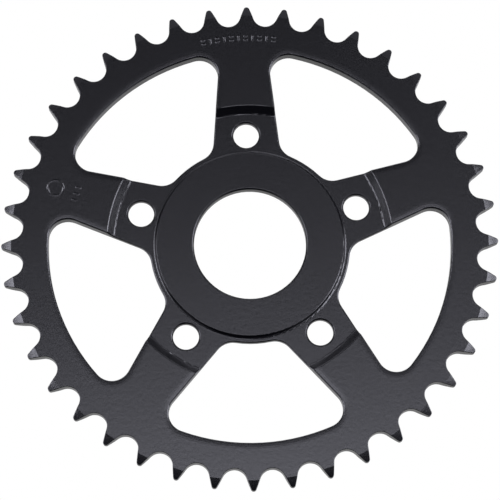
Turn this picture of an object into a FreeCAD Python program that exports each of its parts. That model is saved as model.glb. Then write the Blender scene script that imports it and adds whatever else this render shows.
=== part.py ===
import FreeCAD, Part
import math
import os

# Rear chain sprocket, one piece of plate steel, in millimetres.
# The wheel axis is Y and +Z is up.  The outer face, the one a rider sees, looks along -Y.
# The origin is on the axis, half way through the thickness of the teeth, and one spoke points along +Z.

V = FreeCAD.Vector
AXIS = V(0, 1, 0)
ORIGIN = V(0, 0, 0)

# chain and teeth
CHAIN_PITCH = 15.875
ROLLER_DIAMETER = 10.16
TEETH = 40
SEAT_RADIUS = 5.35                       # hollow that a chain roller lies in
SEAT_HALF_ANGLE = 67.0                   # the seat arc, either side of the valley's middle
FLANK_RADIUS = 100.0
TIP_RADIUS = 105.0
TOOTH_PHASE = -1.13                      # a tooth tip is this far round from each spoke's middle
LEAD_IN_RADIUS = 100.8                   # outside this the teeth thin towards their tips
LEAD_IN_ANGLE = 12.5                     # degrees, the slope where the thinning starts
LEAD_IN_CURVE = 33.0                     # radius of the curve that the slope then follows
TOOTH_EDGE_RADIUS = 0.3

# plate
RIM_THICKNESS = 5.8
BOSS_SETBACK = 1.2                       # boss face behind the rim face
PAD_THICKNESS = 3.0                      # where the bolts clamp

# recess between rim and boss, turned in the outer face
STEP_FACE_RADIUS = 60.5
STEP_FLOOR_RADIUS = 57.55
STEP_TOP_ROUNDING = 0.7
STEP_FOOT_ROUNDING = 1.0
BOSS_FACE_RADIUS = 39.6
BOSS_FOOT_RADIUS = 40.35
BOSS_TOP_ROUNDING = 0.3
BOSS_FOOT_ROUNDING = 0.9

# hub bore and bolt holes
BORE_DIAMETER = 47.5
SPOKES = 5
BOLT_CIRCLE_DIAMETER = 96.0
BOLT_HOLE_DIAMETER = 11.0
BORE_CHAMFER = 0.6
BORE_CHAMFER_ROUNDING = 0.5              # where the chamfer meets the boss face
BOLT_HOLE_CHAMFER = 0.6
BOLT_HOLE_ROUNDING = 0.4                 # where the chamfer meets the pad
BACK_CHAMFER = 0.2                       # at the back of the bore and the bolt holes

# windows between the spokes
WINDOW_RIM_RADIUS = 85.1
WINDOW_HUB_RADIUS = 42.4
WINDOW_CORNER_RADIUS = 8.0
SPOKE_HALF_WIDTH = 11.4                  # at SPOKE_WIDTH_RADIUS
SPOKE_WIDTH_RADIUS = 72.0
SPOKE_FLARE = 5.5                        # degrees each side, wider towards the hub
WINDOW_FRONT_EDGE_RADIUS = 0.65          # the punch goes in here and rounds the edge
WINDOW_BACK_EDGE_RADIUS = 0.35
ROLL_OVER_WIDTH = 2.7                    # the punch draws the rim face down beside each window
ROLL_OVER_DEPTH = 0.11
ROLL_OVER_STEPS = 3

# plain punch marks in the rim face
MARK_DEPTH = 0.25
MARK_BALL_RADIUS = 0.8                   # the punch has a ball end
LONG_DASH = 1.6                          # between the ends' centres
SHORT_DASH = 0.8
SHORT_DASH_GAP = 1.7                     # between the two dashes of a pair
MARK_COUNT = 11
MARK_STEP = 1.92                         # degrees
MARK_ROW_RADIUS = 90.6
MARK_ROW_MIDDLE = 91.2                   # degrees
RING_MARK_RADIUS = 3.3
RING_MARK_PLACE = 85.7                   # radius of its centre, on the second spoke
SIDE_DASH_PLACE = 76.5                   # radius of a row of dashes between the ring and the hub
SIDE_DASH_COUNT = 3
SIDE_DASH_STEP = 2.8

RIM_FACE = -RIM_THICKNESS / 2
BACK_FACE = RIM_THICKNESS / 2
BOSS_FACE = RIM_FACE + BOSS_SETBACK
PAD_FACE = BACK_FACE - PAD_THICKNESS
BORE_RADIUS = BORE_DIAMETER / 2
BOLT_CIRCLE_RADIUS = BOLT_CIRCLE_DIAMETER / 2
PITCH_RADIUS = CHAIN_PITCH / 2 / math.sin(math.pi / TEETH)
ROOT_RADIUS = PITCH_RADIUS - ROLLER_DIAMETER / 2
SPOKE_STEP = 360.0 / SPOKES
TOOTH_STEP = 360.0 / TEETH
BEYOND = 2.0                             # cutting tools run this far past a face
EDGE_MARGIN = 0.5                        # a band of radii that holds some edges is this much wider
PARALLEL = 0.99                          # a cosine above this counts as parallel
SAME_PLACE = 0.01                        # nearer than this counts as the same


def polar(radius, degrees, y=0.0):
    """A point at a radius and an angle from +X towards +Z."""
    angle = math.radians(degrees)
    return V(radius * math.cos(angle), y, radius * math.sin(angle))


def turn(shape, degrees):
    """A copy turned about the wheel axis, from +X towards +Z."""
    copy = shape.copy()
    copy.rotate(ORIGIN, AXIS, -degrees)
    return copy


def line(start, end):
    return Part.LineSegment(start, end).toShape()


def arc_about(centre, start, end):
    """The shorter arc from start to end about a centre."""
    radius = (start - centre).Length
    toward_middle = (start + end) * 0.5 - centre
    middle = centre + toward_middle * (radius / toward_middle.Length)
    return Part.Arc(start, middle, end).toShape()


def rounded_profile(corners):
    """A closed wire through (radius, y, corner radius) corners in the XY half plane."""
    pieces = []
    count = len(corners)
    for index, (x, y, rounding) in enumerate(corners):
        here = V(x, y, 0)
        before = V(*corners[index - 1][:2], 0)
        after = V(*corners[(index + 1) % count][:2], 0)
        if rounding == 0:
            pieces.append((here, None, here))
            continue
        back = (before - here).normalize()
        ahead = (after - here).normalize()
        half_angle = back.getAngle(ahead) / 2
        reach = rounding / math.tan(half_angle)
        bisector = (back + ahead).normalize()
        centre = here + bisector * (rounding / math.sin(half_angle))
        pieces.append((here + back * reach, centre, here + ahead * reach))
    edges = []
    for index, (start, centre, end) in enumerate(pieces):
        if centre is not None:
            edges.append(arc_about(centre, start, end))
        next_start = pieces[(index + 1) % count][0]
        edges.append(line(end, next_start))
    return Part.Wire(edges)


def tooth_face_cutter():
    """A ring that takes the teeth's front face down along a curve, towards their tips."""
    slope = math.radians(LEAD_IN_ANGLE)
    outside = TIP_RADIUS + BEYOND
    start = V(LEAD_IN_RADIUS, RIM_FACE, 0)
    centre = start + V(-math.sin(slope), math.cos(slope), 0) * LEAD_IN_CURVE
    depth = centre.y - math.sqrt(LEAD_IN_CURVE ** 2 - (outside - centre.x) ** 2)
    end = V(outside, depth, 0)
    above_end = V(outside, RIM_FACE - BEYOND, 0)
    above_start = V(LEAD_IN_RADIUS, RIM_FACE - BEYOND, 0)
    edges = [
        arc_about(centre, start, end),
        line(end, above_end),
        line(above_end, above_start),
        line(above_start, start),
    ]
    return Part.Face(Part.Wire(edges)).revolve(ORIGIN, AXIS, 360)


def turned_blank():
    """Everything that is round about the axis: faces, recess, boss, bore and the thinning of the teeth."""
    outside = TIP_RADIUS + BEYOND
    corners = [
        (BORE_RADIUS + BACK_CHAMFER, BACK_FACE, 0),
        (outside, BACK_FACE, 0),
        (outside, RIM_FACE, 0),
        (STEP_FACE_RADIUS, RIM_FACE, STEP_TOP_ROUNDING),
        (STEP_FLOOR_RADIUS, PAD_FACE, STEP_FOOT_ROUNDING),
        (BOSS_FOOT_RADIUS, PAD_FACE, BOSS_FOOT_ROUNDING),
        (BOSS_FACE_RADIUS, BOSS_FACE, BOSS_TOP_ROUNDING),
        (BORE_RADIUS + BORE_CHAMFER, BOSS_FACE, BORE_CHAMFER_ROUNDING),
        (BORE_RADIUS, BOSS_FACE + BORE_CHAMFER, 0),
        (BORE_RADIUS, BACK_FACE - BACK_CHAMFER, 0),
    ]
    blank = Part.Face(rounded_profile(corners)).revolve(ORIGIN, AXIS, 360)
    front_cutter = tooth_face_cutter()
    back_cutter = front_cutter.mirror(ORIGIN, AXIS)
    return blank.cut([front_cutter, back_cutter])


def half_tooth(y):
    """Seat, flank and rounded tip as (centre, start, end) arcs, from a valley on +X to the next tip."""
    seat_centre = V(ROOT_RADIUS + SEAT_RADIUS, y, 0)
    seat_end_angle = math.radians(180 - SEAT_HALF_ANGLE)
    seat_way = V(math.cos(seat_end_angle), 0, math.sin(seat_end_angle))
    seat_start = V(ROOT_RADIUS, y, 0)
    seat_end = seat_centre + seat_way * SEAT_RADIUS
    flank_centre = seat_centre + seat_way * (SEAT_RADIUS + FLANK_RADIUS)
    # the tip's arc ends on the tip circle in the tooth's middle and meets the flank at a tangent
    middle = polar(1, TOOTH_STEP / 2)
    across = V(-middle.z, 0, middle.x)
    flank_along = TIP_RADIUS - flank_centre.dot(middle)
    flank_across = flank_centre.dot(across)
    flank_reach = flank_along ** 2 + flank_across ** 2
    tip_rounding = (flank_reach - FLANK_RADIUS ** 2) / (2 * (flank_along - FLANK_RADIUS))
    tip_centre = middle * (TIP_RADIUS - tip_rounding) + V(0, y, 0)
    flank_end = flank_centre + (tip_centre - flank_centre).normalize() * FLANK_RADIUS
    tip_middle = middle * TIP_RADIUS + V(0, y, 0)
    return [
        (seat_centre, seat_start, seat_end),
        (flank_centre, seat_end, flank_end),
        (tip_centre, flank_end, tip_middle),
    ]


def tooth_prism():
    """A slab with the outline of all the teeth."""
    y = RIM_FACE - BEYOND
    rising = [arc_about(*arc) for arc in half_tooth(y)]
    falling = [edge.mirror(V(0, y, 0), V(0, 0, 1)) for edge in rising]
    edges = []
    for index in range(TEETH):
        valley = 90 + TOOTH_PHASE + TOOTH_STEP * (index + 0.5)
        edges += [turn(edge, valley) for edge in falling + rising]
    outline = Part.Wire(Part.__sortEdges__(edges))
    return Part.Face(outline).extrude(V(0, RIM_THICKNESS + 2 * BEYOND, 0))


def window_side():
    """For a window whose middle is on +X: a point, a direction and an inward normal of its upper side."""
    spoke = polar(1, SPOKE_STEP / 2)
    across = V(spoke.z, 0, -spoke.x)
    flare = math.radians(SPOKE_FLARE)
    point = spoke * SPOKE_WIDTH_RADIUS + across * SPOKE_HALF_WIDTH
    direction = spoke * math.cos(flare) - across * math.sin(flare)
    inward = across * math.cos(flare) + spoke * math.sin(flare)
    return point, direction, inward


def corner_centre_at(radius):
    """The centre of a corner that touches the window's side, at a radius from the axis."""
    point, direction, inward = window_side()
    start = point + inward * WINDOW_CORNER_RADIUS
    along = -start.dot(direction)
    reach = math.sqrt(radius ** 2 - (start + direction * along).Length ** 2)
    return start + direction * (along + reach)


def window_outline(grow, y):
    """The closed outline of a window whose middle is on +X, enlarged all round, at a height y."""
    inward = window_side()[2]
    rim_corner = corner_centre_at(WINDOW_RIM_RADIUS - WINDOW_CORNER_RADIUS)
    hub_corner = corner_centre_at(WINDOW_HUB_RADIUS + WINDOW_CORNER_RADIUS)
    to_side = inward * (WINDOW_CORNER_RADIUS + grow)
    lift = V(0, y, 0)
    rim_unit = V(rim_corner).normalize()
    hub_unit = V(hub_corner).normalize()
    on_rim = rim_unit * (WINDOW_RIM_RADIUS + grow) + lift
    side_out = rim_corner - to_side + lift
    side_in = hub_corner - to_side + lift
    on_hub = hub_unit * (WINDOW_HUB_RADIUS - grow) + lift
    upper = [
        arc_about(rim_corner + lift, on_rim, side_out),
        line(side_out, side_in),
        arc_about(hub_corner + lift, side_in, on_hub),
    ]
    lower = [edge.mirror(lift, V(0, 0, 1)) for edge in upper]
    rim_arc = arc_about(lift, on_rim, V(on_rim.x, y, -on_rim.z))
    hub_arc = arc_about(lift, on_hub, V(on_hub.x, y, -on_hub.z))
    return Part.Wire(Part.__sortEdges__(upper + lower + [rim_arc, hub_arc]))


def window_tool():
    outline = window_outline(0, RIM_FACE - BEYOND)
    return Part.Face(outline).extrude(V(0, RIM_THICKNESS + 2 * BEYOND, 0))


def roll_over_tool():
    """A very shallow funnel that draws the rim face down beside a window, ever steeper towards it."""
    sections = []
    for step in range(ROLL_OVER_STEPS + 1):
        part_way = step / ROLL_OVER_STEPS
        reach = ROLL_OVER_WIDTH * (1 - part_way)
        sections.append(window_outline(reach, RIM_FACE + ROLL_OVER_DEPTH * part_way ** 2))
    return Part.makeLoft(sections, True, True)


def bolt_hole_tool():
    """A drill of the hole's size with a countersink at each face, standing on the axis."""
    radius = BOLT_HOLE_DIAMETER / 2
    drill = Part.makeCylinder(radius, PAD_THICKNESS + 2 * BEYOND, V(0, PAD_FACE - BEYOND, 0), AXIS)
    front_base = V(0, PAD_FACE - BOLT_HOLE_CHAMFER, 0)
    front_depth = 2 * BOLT_HOLE_CHAMFER
    front = Part.makeCone(radius + front_depth, radius, front_depth, front_base, AXIS)
    back_base = V(0, BACK_FACE - BACK_CHAMFER, 0)
    back_depth = 2 * BACK_CHAMFER
    back = Part.makeCone(radius, radius + back_depth, back_depth, back_base, AXIS)
    return drill.fuse([front, back])


def countersink_rims(body):
    """The circles where the bolt holes' countersinks meet the pads."""
    rims = []
    rim_radius = BOLT_HOLE_DIAMETER / 2 + BOLT_HOLE_CHAMFER
    for edge in body.Edges:
        if not isinstance(edge.Curve, Part.Circle):
            continue
        at_pad = abs(edge.Curve.Center.y - PAD_FACE) < SAME_PLACE
        if at_pad and abs(edge.Curve.Radius - rim_radius) < SAME_PLACE:
            rims.append(edge)
    return rims


def dash_tool(length):
    """A ball-ended punch mark lying along X at the rim face, its middle on the axis."""
    y = RIM_FACE + MARK_DEPTH - MARK_BALL_RADIUS
    ends = [V(-length / 2, y, 0), V(length / 2, y, 0)]
    balls = [Part.makeSphere(MARK_BALL_RADIUS, end) for end in ends]
    bar = Part.makeCylinder(MARK_BALL_RADIUS, length, ends[0], V(1, 0, 0))
    return bar.fuse(balls)


def placed(tool, radius, degrees, sideways=0.0):
    """A tool on the axis, moved out to a radius and angle, and aside across that direction."""
    copy = tool.copy()
    copy.translate(V(radius, 0, sideways))
    return turn(copy, degrees)


def mark_tools():
    """Single and paired dashes in turn over the top spoke, and a ring and dashes on the next spoke."""
    long_dash = dash_tool(LONG_DASH)
    short_dash = turn(dash_tool(SHORT_DASH), 90)
    ring = Part.makeTorus(RING_MARK_RADIUS, MARK_BALL_RADIUS,
                          V(0, RIM_FACE + MARK_DEPTH - MARK_BALL_RADIUS, 0), AXIS)
    second_spoke = 90 + SPOKE_STEP
    tools = [placed(ring, RING_MARK_PLACE, second_spoke)]
    for index in range(MARK_COUNT):
        angle = MARK_ROW_MIDDLE + MARK_STEP * (index - (MARK_COUNT - 1) / 2)
        if index % 2:
            tools.append(placed(long_dash, MARK_ROW_RADIUS, angle))
        else:
            tools.append(placed(short_dash, MARK_ROW_RADIUS - SHORT_DASH_GAP / 2, angle))
            tools.append(placed(short_dash, MARK_ROW_RADIUS + SHORT_DASH_GAP / 2, angle))
    for index in range(SIDE_DASH_COUNT):
        aside = SIDE_DASH_STEP * (index - (SIDE_DASH_COUNT - 1) / 2)
        tools.append(placed(long_dash, SIDE_DASH_PLACE, second_spoke, aside))
    return tools


def wall_edges(body, front, inner_radius, outer_radius):
    """The edges where walls parallel to the axis meet the front or back faces, within a band of radii."""
    found = []
    for face in body.Faces:
        u_low, u_high, v_low, v_high = face.ParameterRange
        normal = face.normalAt((u_low + u_high) / 2, (v_low + v_high) / 2)
        if abs(normal.y) > 1 - PARALLEL:
            continue
        for edge in face.Edges:
            middle_parameter = (edge.FirstParameter + edge.LastParameter) / 2
            middle = edge.valueAt(middle_parameter)
            radius = math.hypot(middle.x, middle.z)
            along_axis = abs(edge.tangentAt(middle_parameter).y) > PARALLEL
            if along_axis or not inner_radius < radius < outer_radius:
                continue
            if front == (middle.y < PAD_FACE + PAD_THICKNESS / 2):
                found.append(edge)
    return found


def sprocket():
    body = turned_blank().common(tooth_prism())
    window_middles = [90 + SPOKE_STEP * (index + 0.5) for index in range(SPOKES)]
    spoke_middles = [90 + SPOKE_STEP * index for index in range(SPOKES)]
    window = window_tool()
    body = body.cut([turn(window, middle) for middle in window_middles]).Solids[0]
    inside_window = (BORE_RADIUS + BEYOND, ROOT_RADIUS - BEYOND)
    on_teeth = (ROOT_RADIUS - EDGE_MARGIN, TIP_RADIUS + EDGE_MARGIN)
    roll_over = roll_over_tool()
    body = body.cut([turn(roll_over, middle) for middle in window_middles])
    for front, edge_radius in ((True, WINDOW_FRONT_EDGE_RADIUS), (False, WINDOW_BACK_EDGE_RADIUS)):
        body = body.makeFillet(edge_radius, wall_edges(body, front, *inside_window))
        body = body.makeFillet(TOOTH_EDGE_RADIUS, wall_edges(body, front, *on_teeth))
    drill = bolt_hole_tool()
    body = body.cut([placed(drill, BOLT_CIRCLE_RADIUS, middle) for middle in spoke_middles])
    body = body.makeFillet(BOLT_HOLE_ROUNDING, countersink_rims(body))
    body = body.cut(mark_tools())
    return body.Solids[0]


os.makedirs("parts", exist_ok=True)
part = sprocket()
part.exportStep("parts/sprocket.step")
print("valid", part.isValid(), "volume", round(part.Volume), "mm3")
print("pitch diameter", round(2 * PITCH_RADIUS, 2), "root diameter", round(2 * ROOT_RADIUS, 2))
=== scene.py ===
import math

import bpy
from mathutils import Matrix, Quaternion, Vector


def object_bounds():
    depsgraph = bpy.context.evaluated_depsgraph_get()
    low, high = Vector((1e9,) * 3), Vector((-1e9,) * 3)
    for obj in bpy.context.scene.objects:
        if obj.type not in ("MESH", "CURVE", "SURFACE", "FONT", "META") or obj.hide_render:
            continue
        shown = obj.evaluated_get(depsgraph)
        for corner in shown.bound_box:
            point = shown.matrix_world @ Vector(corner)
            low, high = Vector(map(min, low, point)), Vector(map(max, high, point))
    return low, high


# A black coated rear sprocket, upright in the air against white paper, in soft studio light.
# Lengths are in metres.  The wheel axis is Y, the outer face looks along -Y, and +Z is up.

WHITE = (1, 1, 1, 1)

# camera: seen from a little below and left, with a long lens
CAMERA_DISTANCE = 1.102
CAMERA_AZIMUTH = -1.2                     # degrees
CAMERA_ELEVATION = -13.55
CAMERA_ROLL = 2.04                        # degrees, the sprocket leans this far to the left in the picture
CAMERA_LENS = 187.6                       # millimetres
CAMERA_SENSOR = 36.0                      # millimetres
CAMERA_AIM = (-0.00008, 0.0, -0.00237)    # a little under the middle of the bore

# floor
FLOOR_DROP = 0.26                         # under the lowest tooth, and lower than the camera
FLOOR_HALF_SIZE = 4.0
FLOOR_FADE = (1.0, 3.2)                   # between these distances it fades into the white behind it
FLOOR_COLOUR = (0.86, 0.86, 0.76, 1)      # a little warm, because the light is a little cool
FLOOR_ROUGHNESS = 0.9

# coat; each texture has the size of its lumps, its detail and its roughness
COAT_DARK = (0.0016, 0.0016, 0.0022, 1)
COAT_LIGHT = (0.0026, 0.0026, 0.0034, 1)
COAT_ROUGHNESS = (0.22, 0.27)
BLOTCHES = (0.020, 4, 0.6)
PEEL = (0.0016, 2, 0.5)
PEEL_HEIGHT = 0.000020
GRAIN = (0.0007, 2, 0.6)
GRAIN_HEIGHT = 0.000009

# soft boxes far from the sprocket, by the angles that it sees: azimuth and elevation (0, 0 is straight out
# of its outer face, positive is right and up), width and height, all in degrees; then the radiance
SOFT_BOX_DISTANCE = 5.0
SINGLE_BOXES = {
    "front_silk": (4.5, -1, 31, 18.5, 3.7),
    "front_box": (0, 0, 12, 10, 2.0),
    "overhead_silk": (0, 62, 100, 46, 0.56),
    "top_box": (0, 78, 60, 14, 2.2),
}
# one on each side, so these end with the radiance of the left one and of the right one
PAIRED_BOXES = {
    "strip": (32, 8, 9, 25, 11, 13),
    "wing": (59, 3, 29, 29, 7, 10),
    "low_box": (55, -34, 30, 26, 1.1, 1.1),
    "back_box": (132, -8, 40, 50, 1.7, 1.7),
}
LIGHT_COLOUR = (0.975, 0.975, 1.11)

# surroundings; each fades in between two values of a direction's Y (towards the back) or Z (up)
PAPER_BRIGHTNESS = 0.55                   # white paper behind the sprocket
PAPER_EDGE = (0.55, 0.9)                  # of Y
CEILING_BRIGHTNESS = 0.1
CEILING_EDGE = (0.8, 0.95)                # of Z
ROOM_BRIGHTNESS = 0.05                    # everything above the horizon
ROOM_EDGE = (-0.05, 0.05)                 # of Z


def direction(azimuth, elevation):
    """A unit vector from the sprocket; 0, 0 is straight out of its outer face."""
    a = math.radians(azimuth)
    e = math.radians(elevation)
    return Vector((math.sin(a) * math.cos(e), -math.cos(a) * math.cos(e), math.sin(e)))


def link_to_scene(thing):
    bpy.context.scene.collection.objects.link(thing)


def make_camera():
    data = bpy.data.cameras.new("camera")
    data.lens = CAMERA_LENS
    data.sensor_width = CAMERA_SENSOR
    camera = bpy.data.objects.new("camera", data)
    link_to_scene(camera)
    camera.location = direction(CAMERA_AZIMUTH, CAMERA_ELEVATION) * CAMERA_DISTANCE
    toward = Vector(CAMERA_AIM) - camera.location
    roll = Quaternion((0, 0, 1), -math.radians(CAMERA_ROLL))
    camera.rotation_mode = "QUATERNION"
    camera.rotation_quaternion = toward.to_track_quat("-Z", "Y") @ roll
    bpy.context.scene.camera = camera


def width_across(angle):
    """How wide a soft box is that fills this angle, in degrees, at its distance."""
    return 2 * SOFT_BOX_DISTANCE * math.tan(math.radians(angle / 2))


def make_soft_box(name, azimuth, elevation, wide, high, radiance):
    data = bpy.data.lights.new(name, "AREA")
    data.shape = "RECTANGLE"
    data.size = width_across(wide)
    data.size_y = width_across(high)
    data.energy = math.pi * data.size * data.size_y * radiance
    data.color = LIGHT_COLOUR
    box = bpy.data.objects.new(name, data)
    link_to_scene(box)
    way = direction(azimuth, elevation)
    box.location = way * SOFT_BOX_DISTANCE
    box.rotation_mode = "QUATERNION"
    box.rotation_quaternion = way.to_track_quat("Z", "Y")
    box.visible_camera = False


def make_lights():
    for name, box in SINGLE_BOXES.items():
        make_soft_box(name, *box)
    for name, (azimuth, elevation, wide, high, left, right) in PAIRED_BOXES.items():
        make_soft_box("left_" + name, -azimuth, elevation, wide, high, left)
        make_soft_box("right_" + name, azimuth, elevation, wide, high, right)


def add(tree, kind, **settings):
    """A new node with these settings."""
    node = tree.nodes.new(kind)
    for key, value in settings.items():
        setattr(node, key, value)
    return node


def ramp(tree, value, edge, levels):
    """Goes smoothly from the first level to the second as the value crosses the edge."""
    node = add(tree, "ShaderNodeMapRange", interpolation_type="SMOOTHSTEP")
    node.inputs["From Min"].default_value = edge[0]
    node.inputs["From Max"].default_value = edge[1]
    node.inputs["To Min"].default_value = levels[0]
    node.inputs["To Max"].default_value = levels[1]
    tree.links.new(value, node.inputs["Value"])
    return node.outputs["Result"]


def total(tree, first, second):
    node = add(tree, "ShaderNodeMath", operation="ADD")
    tree.links.new(first, node.inputs[0])
    tree.links.new(second, node.inputs[1])
    return node.outputs[0]


def white_background(tree):
    node = add(tree, "ShaderNodeBackground")
    node.inputs["Color"].default_value = WHITE
    return node


def make_world():
    """White for the camera; for the sprocket, white paper behind, a dim room above and a dark front."""
    world = bpy.data.worlds.new("studio")
    bpy.context.scene.world = world
    world.use_nodes = True
    tree = world.node_tree
    tree.nodes.clear()
    place = add(tree, "ShaderNodeTexCoord")
    way = add(tree, "ShaderNodeSeparateXYZ")
    tree.links.new(place.outputs["Generated"], way.inputs[0])
    paper = ramp(tree, way.outputs["Y"], PAPER_EDGE, (0, PAPER_BRIGHTNESS))
    ceiling = ramp(tree, way.outputs["Z"], CEILING_EDGE, (0, CEILING_BRIGHTNESS))
    room = ramp(tree, way.outputs["Z"], ROOM_EDGE, (0, ROOM_BRIGHTNESS))
    studio = white_background(tree)
    tree.links.new(total(tree, paper, total(tree, ceiling, room)), studio.inputs["Strength"])
    rays = add(tree, "ShaderNodeLightPath")
    choose = add(tree, "ShaderNodeMixShader")
    tree.links.new(rays.outputs["Is Camera Ray"], choose.inputs[0])
    tree.links.new(studio.outputs[0], choose.inputs[1])
    tree.links.new(white_background(tree).outputs[0], choose.inputs[2])
    output = add(tree, "ShaderNodeOutputWorld")
    tree.links.new(choose.outputs[0], output.inputs["Surface"])


def noise(tree, coordinates, size, detail, roughness):
    """Noise whose lumps are about one size across."""
    texture = add(tree, "ShaderNodeTexNoise")
    texture.inputs["Scale"].default_value = 1 / size
    texture.inputs["Detail"].default_value = detail
    texture.inputs["Roughness"].default_value = roughness
    tree.links.new(coordinates, texture.inputs["Vector"])
    return texture.outputs["Fac"]


def bump(tree, height, distance, normal=None):
    """The normal of a surface raised by up to this distance, on top of another bump if one is given."""
    node = add(tree, "ShaderNodeBump")
    node.inputs["Distance"].default_value = distance
    tree.links.new(height, node.inputs["Height"])
    if normal is not None:
        tree.links.new(normal, node.inputs["Normal"])
    return node.outputs["Normal"]


def coat_material():
    """Satin black coat: soft blotches of tone, faint orange peel and a fine powder grain."""
    material = bpy.data.materials.new("black_coat")
    material.use_nodes = True
    tree = material.node_tree
    shader = tree.nodes["Principled BSDF"]
    place = add(tree, "ShaderNodeTexCoord").outputs["Object"]
    blotches = noise(tree, place, *BLOTCHES)
    peel = noise(tree, place, *PEEL)
    grain = noise(tree, place, *GRAIN)
    tone = add(tree, "ShaderNodeMixRGB")
    tone.inputs["Color1"].default_value = COAT_DARK
    tone.inputs["Color2"].default_value = COAT_LIGHT
    tree.links.new(blotches, tone.inputs["Fac"])
    tree.links.new(tone.outputs[0], shader.inputs["Base Color"])
    rough = add(tree, "ShaderNodeMapRange")
    rough.inputs["To Min"].default_value = COAT_ROUGHNESS[0]
    rough.inputs["To Max"].default_value = COAT_ROUGHNESS[1]
    tree.links.new(grain, rough.inputs["Value"])
    tree.links.new(rough.outputs["Result"], shader.inputs["Roughness"])
    peeled = bump(tree, peel, PEEL_HEIGHT)
    tree.links.new(bump(tree, grain, GRAIN_HEIGHT, peeled), shader.inputs["Normal"])
    return material


def floor_material():
    """Pale paper that fades away far from the sprocket, so that no horizon shows."""
    material = bpy.data.materials.new("pale_floor")
    material.use_nodes = True
    tree = material.node_tree
    shader = tree.nodes["Principled BSDF"]
    shader.inputs["Base Color"].default_value = FLOOR_COLOUR
    shader.inputs["Roughness"].default_value = FLOOR_ROUGHNESS
    place = add(tree, "ShaderNodeTexCoord").outputs["Object"]
    reach = add(tree, "ShaderNodeVectorMath", operation="LENGTH")
    tree.links.new(place, reach.inputs[0])
    tree.links.new(ramp(tree, reach.outputs["Value"], FLOOR_FADE, (1, 0)), shader.inputs["Alpha"])
    return material


def make_floor(lowest):
    """A floor that is only seen: it neither lights the sprocket nor shows in its gloss."""
    size = FLOOR_HALF_SIZE
    mesh = bpy.data.meshes.new("floor")
    corners = [(-size, -size, 0), (size, -size, 0), (size, size, 0), (-size, size, 0)]
    mesh.from_pydata(corners, [], [(0, 1, 2, 3)])
    mesh.materials.append(floor_material())
    floor = bpy.data.objects.new("floor", mesh)
    link_to_scene(floor)
    floor.location = (0, 0, lowest - FLOOR_DROP)
    floor.visible_glossy = False
    floor.visible_diffuse = False
    floor.visible_shadow = False


def coat(node):
    """Gives a CAD node the black coat in every material slot."""
    finish = coat_material()
    for slot in node.material_slots:
        slot.link = "OBJECT"
        slot.material = finish


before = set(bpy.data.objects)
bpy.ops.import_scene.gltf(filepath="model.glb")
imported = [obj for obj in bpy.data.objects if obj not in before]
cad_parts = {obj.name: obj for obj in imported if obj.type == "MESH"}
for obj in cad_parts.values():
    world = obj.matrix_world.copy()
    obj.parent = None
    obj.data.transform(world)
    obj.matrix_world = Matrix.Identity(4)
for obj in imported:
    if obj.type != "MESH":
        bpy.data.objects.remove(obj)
cad_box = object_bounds()
bpy.context.scene.view_settings.view_transform = "Standard"
make_camera()
make_world()
make_lights()
make_floor(cad_box[0].z)
coat(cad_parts["sprocket"])
